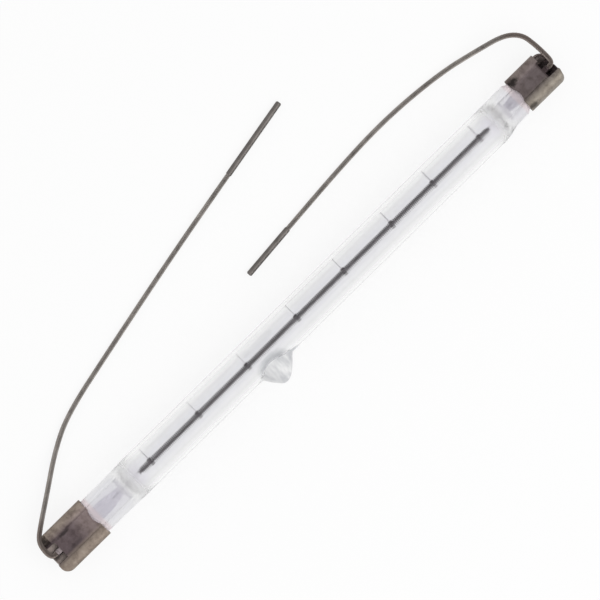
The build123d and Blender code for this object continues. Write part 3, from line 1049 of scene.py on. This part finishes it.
@dataclass
class CoilSupport:
    """Tungsten wire wound on the coil, its two ends sprung out against the bore, in millimetres."""

    number: int
    place: float
    wire: float = 0.1
    loop_wire: float = 0.18
    loop_radius: float = 1.08
    loop_turns: int = 5
    turn_steps: int = 12
    ring_radius: float = 4.86
    ring_reach: float = 75.0  # degrees, of each sprung end along the bore
    ring_steps: int = 8
    spoke: Pair = (3.4, 2.0)  # places on the way in from the ring to the coil
    apart: float = 0.55  # in parts of the wire, of each end from the support's middle
    loop_pitch: float = 1.1  # in parts of the wire, from turn to turn

    def sprung_end(self, side: int) -> list[Point]:
        """Points of one end, from the bore's far side in to the coil."""
        x = self.place + side * self.wire * self.apart
        points = []
        for step in range(self.ring_steps, -1, -1):
            angle = side * math.radians(self.ring_reach) * step / self.ring_steps
            points.append((x, self.ring_radius * math.cos(angle), self.ring_radius * math.sin(angle)))
        return points + [(x, reach, 0.0) for reach in (*self.spoke, self.loop_radius)]

    def loop(self) -> list[Point]:
        """Points of the turns round the coil."""
        pitch = self.loop_wire * self.loop_pitch
        points = []
        for step in range(self.loop_turns * self.turn_steps + 1):
            angle = 2 * math.pi * step / self.turn_steps
            x = self.place + pitch * (step / self.turn_steps - self.loop_turns / 2)
            points.append((x, self.loop_radius * math.cos(angle), self.loop_radius * math.sin(angle)))
        return points

    def build(self, dark: Material, light: Material) -> Piece:
        """Makes the support, its turns dark from the coil's heat and its ends light."""
        loop = bent_wire(self.loop(), self.loop_wire)
        dress(loop, dark)
        ends = [bent_wire(self.sprung_end(side), self.wire) for side in (-1, 1)]
        for end in ends:
            dress(end, light)
        select_only(loop, *ends)
        bpy.ops.object.join()
        node = f"filament_support_{self.number}"
        return settle(loop, f"support_{self.number}", WIRE_SMOOTH, node)


@dataclass
class EndFittings:
    """Sheet cap and crimp of one end, made from their CAD nodes."""

    end: LampEnd
    finish: CapFinish
    crimp: Metal
    cap_edge: float = 0.12  # mm, how far the sheet's edges are rounded
    crimp_edge: float = 0.1

    def build(self, nodes: dict) -> list[Piece]:
        """Rounds and dresses the cap and the crimp.

        Args:
            nodes: the CAD nodes by name.

        Returns:
            Both pieces.
        """
        side = self.end.name
        made = []
        for node, piece, slot, edge, look in (
            (f"end_cap_{side}", f"sheet_cap_{side}", "cap_sheet", self.cap_edge, self.finish),
            (f"lead_crimp_{side}", f"pressed_crimp_{side}", "crimp", self.crimp_edge, self.crimp.value),
        ):
            copy = softened_copy(nodes[node], edge)
            dress(copy, look.material())
            made.append(settle(copy, piece, SHEET_SMOOTH, node))
        return made


@dataclass
class StrandedLead:
    """Bare lead of twisted strands, laid along its route, in millimetres."""

    end: LampEnd
    route: tuple[Point, ...]
    length: float
    diameter: float = 1.45
    strands: int = 12
    lay: float = 10.0  # along the lead for one turn of a strand
    strand_sides: int = 6
    core_sides: int = 12
    core_share: float = 0.86  # of the reach to the strands' middles, filled by the core

    def centreline(self) -> list[Vector]:
        """Reads the route's smooth spline as points, in metres."""
        data = smooth_curve(self.route, ROUTE_STEPS)
        carrier = bpy.data.objects.new("route", data)
        mesh = bpy.data.meshes.new_from_object(carrier)
        line = [vertex.co.copy() for vertex in mesh.vertices]
        bpy.data.meshes.remove(mesh)
        bpy.data.objects.remove(carrier)
        bpy.data.curves.remove(data)
        return line

    def frames(self, line: list[Vector]) -> list[tuple[Vector, Vector]]:
        """Two directions across the lead at each point, carried along it without twist.

        Args:
            line: the lead's centreline.

        Returns:
            A pair of unit vectors for each point.
        """
        frames = []
        across = None
        for i in range(len(line)):
            tangent = (line[min(i + 1, len(line) - 1)] - line[max(i - 1, 0)]).normalized()
            if across is None:
                across = tangent.cross(Vector((0, 0, 1))).normalized()
            across = (across - tangent * across.dot(tangent)).normalized()
            frames.append((across.copy(), tangent.cross(across).normalized()))
        return frames

    def twisted(self, line: list[Vector]) -> Piece:
        """Twists the strands along the lead's centreline.

        Args:
            line: the centreline, in metres.

        Returns:
            The strands as one mesh.
        """
        frames = self.frames(line)
        gone = [0.0]
        for before, after in zip(line, line[1:]):
            gone.append(gone[-1] + (after - before).length)
        sine = math.sin(math.pi / self.strands)
        strand = self.diameter / 2 * sine / (1 + sine) * MM
        ring = self.diameter / 2 * MM - strand
        bodies = [(0.0, 0.0, ring * self.core_share, self.core_sides)]
        for k in range(self.strands):
            bodies.append((ring, 2 * math.pi * k / self.strands, strand, self.strand_sides))
        points, faces = [], []
        for reach, start, radius, sides in bodies:
            first = len(points)
            for i, (centre, (u, v)) in enumerate(zip(line, frames)):
                turn = start + 2 * math.pi * gone[i] / (self.lay * MM)
                middle = centre + (u * math.cos(turn) + v * math.sin(turn)) * reach
                for k in range(sides):
                    angle = turn + 2 * math.pi * k / sides
                    points.append(middle + (u * math.cos(angle) + v * math.sin(angle)) * radius)
            for i in range(len(line) - 1):
                for k in range(sides):
                    a, b = first + i * sides + k, first + i * sides + (k + 1) % sides
                    faces.append((a, b, b + sides, a + sides))
            last = first + (len(line) - 1) * sides
            faces.append(tuple(first + k for k in reversed(range(sides))))
            faces.append(tuple(last + k for k in range(sides)))
        mesh = bpy.data.meshes.new("strands")
        mesh.from_pydata(points, [], faces)
        lead = linked("strands", mesh)
        edit_mesh(lead, FACE_OUT)
        return lead

    def build(self, material: Material, tip: Piece) -> Piece:
        """Args:
            material: of the strands.
            tip: the sleeve, not used.

        Returns:
            The lead.
        """
        line = self.centreline()
        lead = self.twisted(line)
        dress(lead, material)
        side = self.end.name
        settle(lead, f"lead_strands_{side}", WIRE_SMOOTH, f"lead_wire_{side}")
        return lead


LEFT_ROUTE = (
    (-97.35, 0.0, 0.0), (-98.55, 0.0, 0.0), (-99.4, 0.85, 0.0), (-99.5, 3.1, 0.0),
    (-98.75, 6.1, 0.0), (-95.2, 8.9, -0.8), (-88.4, 13.6, -2.7), (-77.8, 21.1, -4.6),
    (-67.9, 26.0, -5.25), (-47.0, 30.6, -5.25), (-24.0, 35.5, -5.25), (-4.0, 39.5, -5.15),
    (12.0, 42.45, -5.15),
)
RIGHT_ROUTE = (
    (97.35, 0.65, 0.0), (98.55, 0.65, 0.0), (99.4, 1.5, 0.0), (99.5, 3.85, 0.0),
    (99.35, 7.95, -0.2), (98.7, 12.4, -0.7), (95.0, 15.9, -1.6), (87.1, 18.05, -3.3),
    (75.2, 20.85, -5.25), (56.0, 22.5, -5.25), (36.0, 21.8, -5.15), (13.2, 19.75, -5.15),
)


@dataclass
class Studio:
    """Camera, lights, white background and pale floor."""

    pixel: float = 0.2821  # mm of the lamp for one pixel of the photograph
    image: int = 600  # pixels, side of the photograph
    turn: float = -44.51  # degrees, of the picture about the view
    centre: Pair = (1.571, 2.926)  # mm, under the middle of the picture
    lens: float = 300.0
    sensor: float = 36.0
    clip: Pair = (0.05, 4.0)  # nearest and farthest that is seen, in parts of the camera's height
    sky: float = 0.7  # what the surroundings light with, where 1 is what the eye sees of them
    key_size: float = 0.8  # m
    key_power: float = 2.4  # W
    key_place: Point = (0.15, -0.45, 0.6)  # m
    floor_size: float = 4.0  # m
    paper: str = "fafafa"
    floor_glow: float = 0.85  # share of the floor that the eye sees white in any light

    def place_camera(self) -> None:
        """Looks straight down on the lamp."""
        data = bpy.data.cameras.new("camera")
        data.sensor_width = self.sensor
        data.lens = self.lens
        height = self.pixel * self.image * MM * self.lens / self.sensor
        data.clip_start, data.clip_end = [height * share for share in self.clip]
        camera = linked("camera", data)
        camera.location = (self.centre[0] * MM, self.centre[1] * MM, height)
        camera.rotation_euler = (0, 0, math.radians(self.turn))
        bpy.context.scene.camera = camera

    def light(self) -> None:
        """Soft light from above and from the side of the exhaust tip."""
        world = bpy.data.worlds.new("studio")
        bpy.context.scene.world = world
        tree = ShaderTree(world)
        lit, shown = [
            tree.node("Background", {"Color": WHITE, "Strength": strength}) for strength in (self.sky, 1.0)
        ]
        mixed = tree.node("MixShader", {0: tree.seen(), 1: lit, 2: shown})
        tree.node("OutputWorld", {"Surface": mixed})
        key = bpy.data.lights.new("key", "AREA")
        key.size = self.key_size
        key.energy = self.key_power
        lamp = linked("key", key)
        lamp.location = self.key_place
        lamp.rotation_euler = (-lamp.location).to_track_quat("-Z", "Y").to_euler()

    def lay_floor(self) -> None:
        """Pale floor under the lamp, white to the eye but keeping the lamp's shadow."""
        bpy.ops.object.select_all(action="DESELECT")
        bpy.ops.mesh.primitive_plane_add(size=self.floor_size, location=(0, 0, FLOOR_LEVEL * MM))
        floor = bpy.context.view_layer.objects.active
        floor.name = "floor"
        bpy.ops.object.transform_apply(location=True, rotation=True, scale=True)
        material = bpy.data.materials.new("white_paper")
        tree = ShaderTree(material)
        share = tree.node("Math", {0: tree.seen(), 1: self.floor_glow}, operation="MULTIPLY")
        paper = tree.node("BsdfDiffuse", {"Color": hex_colour(self.paper)})
        glow = tree.node("Emission", {"Color": WHITE, "Strength": 1.0})
        mixed = tree.node("MixShader", {0: share, 1: paper, 2: glow})
        tree.node("OutputMaterial", {"Surface": mixed})
        dress(floor, material)


SUPPORT_PLACES = (-60.3, -41.4, -22.0, -2.5, 16.1, 35.0, 51.4, 69.7)  # mm along the lamp


def main() -> None:
    """Builds the lamp round its frame."""
    logging.basicConfig(level=logging.INFO, format="%(message)s")
    bpy.context.scene.view_settings.view_transform = "Standard"
    for item in list(bpy.data.objects):
        bpy.data.objects.remove(item)
    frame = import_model()
    nodes = frame["nodes"]
    studio = Studio()
    studio.place_camera()
    strands, sleeve = Metal.STRANDS.value.material(), Metal.SLEEVE.value.material()
    for plan in (StrandedLead(LEFT, LEFT_ROUTE, 126.3), StrandedLead(RIGHT, RIGHT_ROUTE, 101.1)):
        tip = nodes[f"lead_end_{plan.end.name}"]
        dress(tip, sleeve)
        log.info("made %s", plan.build(strands, tip).name)
    log.info("made %s", QuartzEnvelope().build().name)
    log.info("made %s", CoilFilament().build().name)
    dark, light = Metal.LOOP.value.material(), Metal.SUPPORT.value.material()
    for number, place in enumerate(SUPPORT_PLACES, start=1):
        log.info("made %s", CoilSupport(number, place).build(dark, light).name)
    for end, finish, crimp in ((LEFT, LEFT_CAP, Metal.CRIMP_LEFT), (RIGHT, RIGHT_CAP, Metal.CRIMP_RIGHT)):
        for piece in EndFittings(end, finish, crimp).build(nodes):
            log.info("made %s", piece.name)
    foil, pin = Metal.FOIL.value.material(), Metal.PIN.value.material()
    for end in (LEFT, RIGHT):
        log.info("made %s", SealFoil(end).build(foil).name)
        dress(nodes[f"outer_pin_{end.name}"], pin)
    studio.light()
    studio.lay_floor()


if __name__ == "__main__":
    main()
